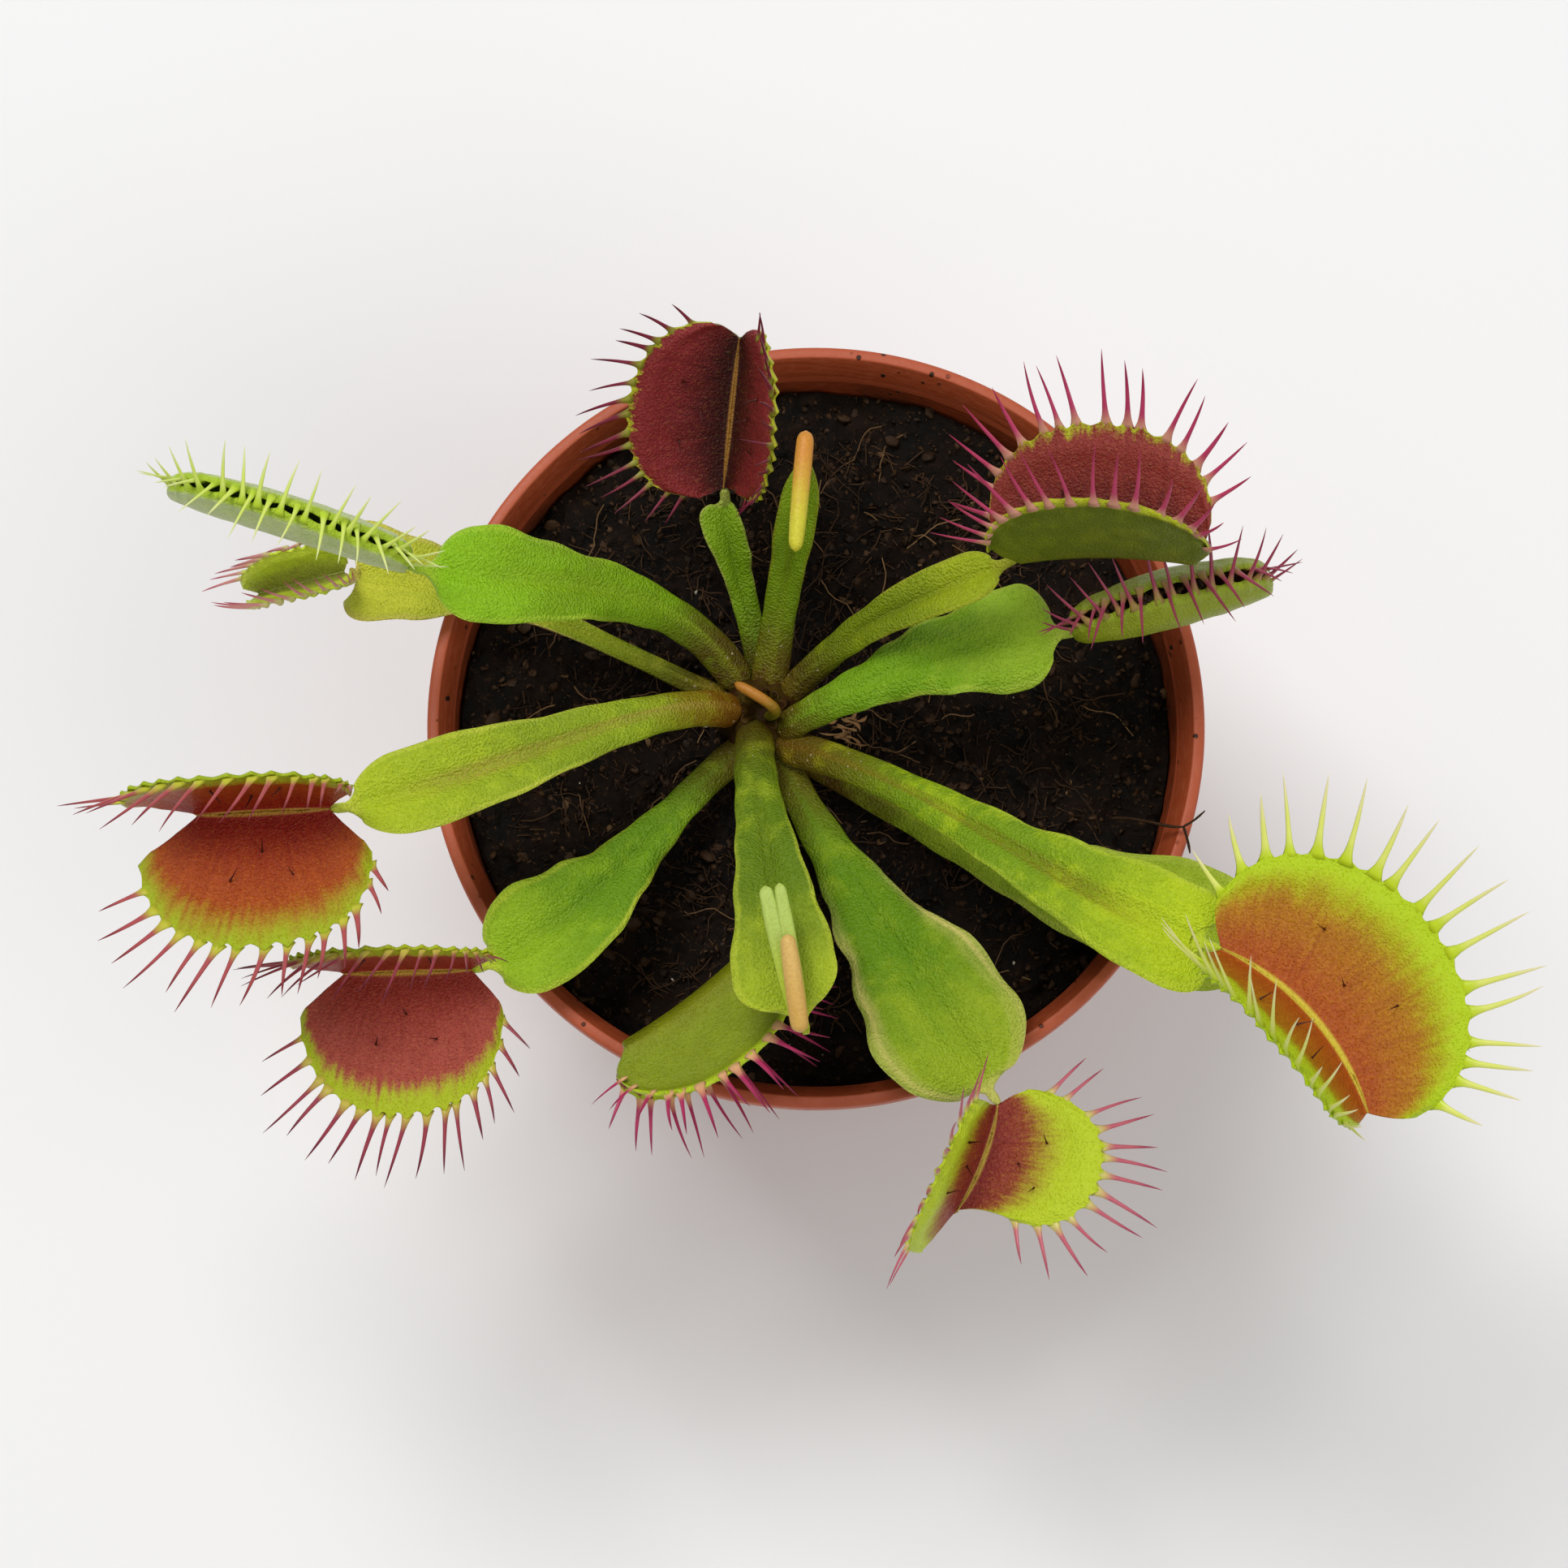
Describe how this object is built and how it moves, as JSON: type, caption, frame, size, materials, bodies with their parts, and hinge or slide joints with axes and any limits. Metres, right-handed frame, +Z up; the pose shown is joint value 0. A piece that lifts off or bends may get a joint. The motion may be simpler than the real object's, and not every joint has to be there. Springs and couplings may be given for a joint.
{
  "type": "potted venus flytrap",
  "caption": "Carnivorous plant in a small round plastic nursery pot: a loose rosette of winged stalks that spread over the rim, each ending in a hinged, toothed trap.",
  "frame": {"origin": "centre of the pot's flat base, on the surface that it stands on", "axes": "+Z up along the pot's axis, +Y towards the back of the rosette, +X to its right"},
  "size_m": [0.1512, 0.1055, 0.1159],
  "materials": {
    "pot": "satin",
    "soil": "matte",
    "rhizome": "satin",
    "petiole": "satin",
    "trap_red": "satin",
    "trap_orange": "satin",
    "trap_green": "satin"
  },
  "bodies": {
    "root": {"pot": "pot", "soil": "soil", "crown": "rhizome", "bud": "rhizome", "petiole_back": "petiole", "trap_back": "trap_red", "petiole_back_low": "petiole", "trap_back_low": "trap_green", "petiole_back_left": "petiole", "trap_back_left": "trap_green", "petiole_left": "petiole", "trap_left": "trap_orange", "petiole_front_left": "petiole", "trap_front_left": "trap_red", "petiole_front_low": "petiole", "trap_front_low": "trap_green", "petiole_front": "petiole", "young_trap_front": "trap_green", "petiole_front_right": "petiole", "trap_front_right": "trap_red", "petiole_right_low": "petiole", "trap_right_low": "trap_red", "petiole_right": "petiole", "trap_right": "trap_orange", "petiole_right_mid": "petiole", "trap_right_mid": "trap_green", "petiole_right_back": "petiole", "trap_right_back": "trap_red", "petiole_back_upright": "petiole", "young_trap_back_upright": "trap_green"}
  },
  "joints": []
}
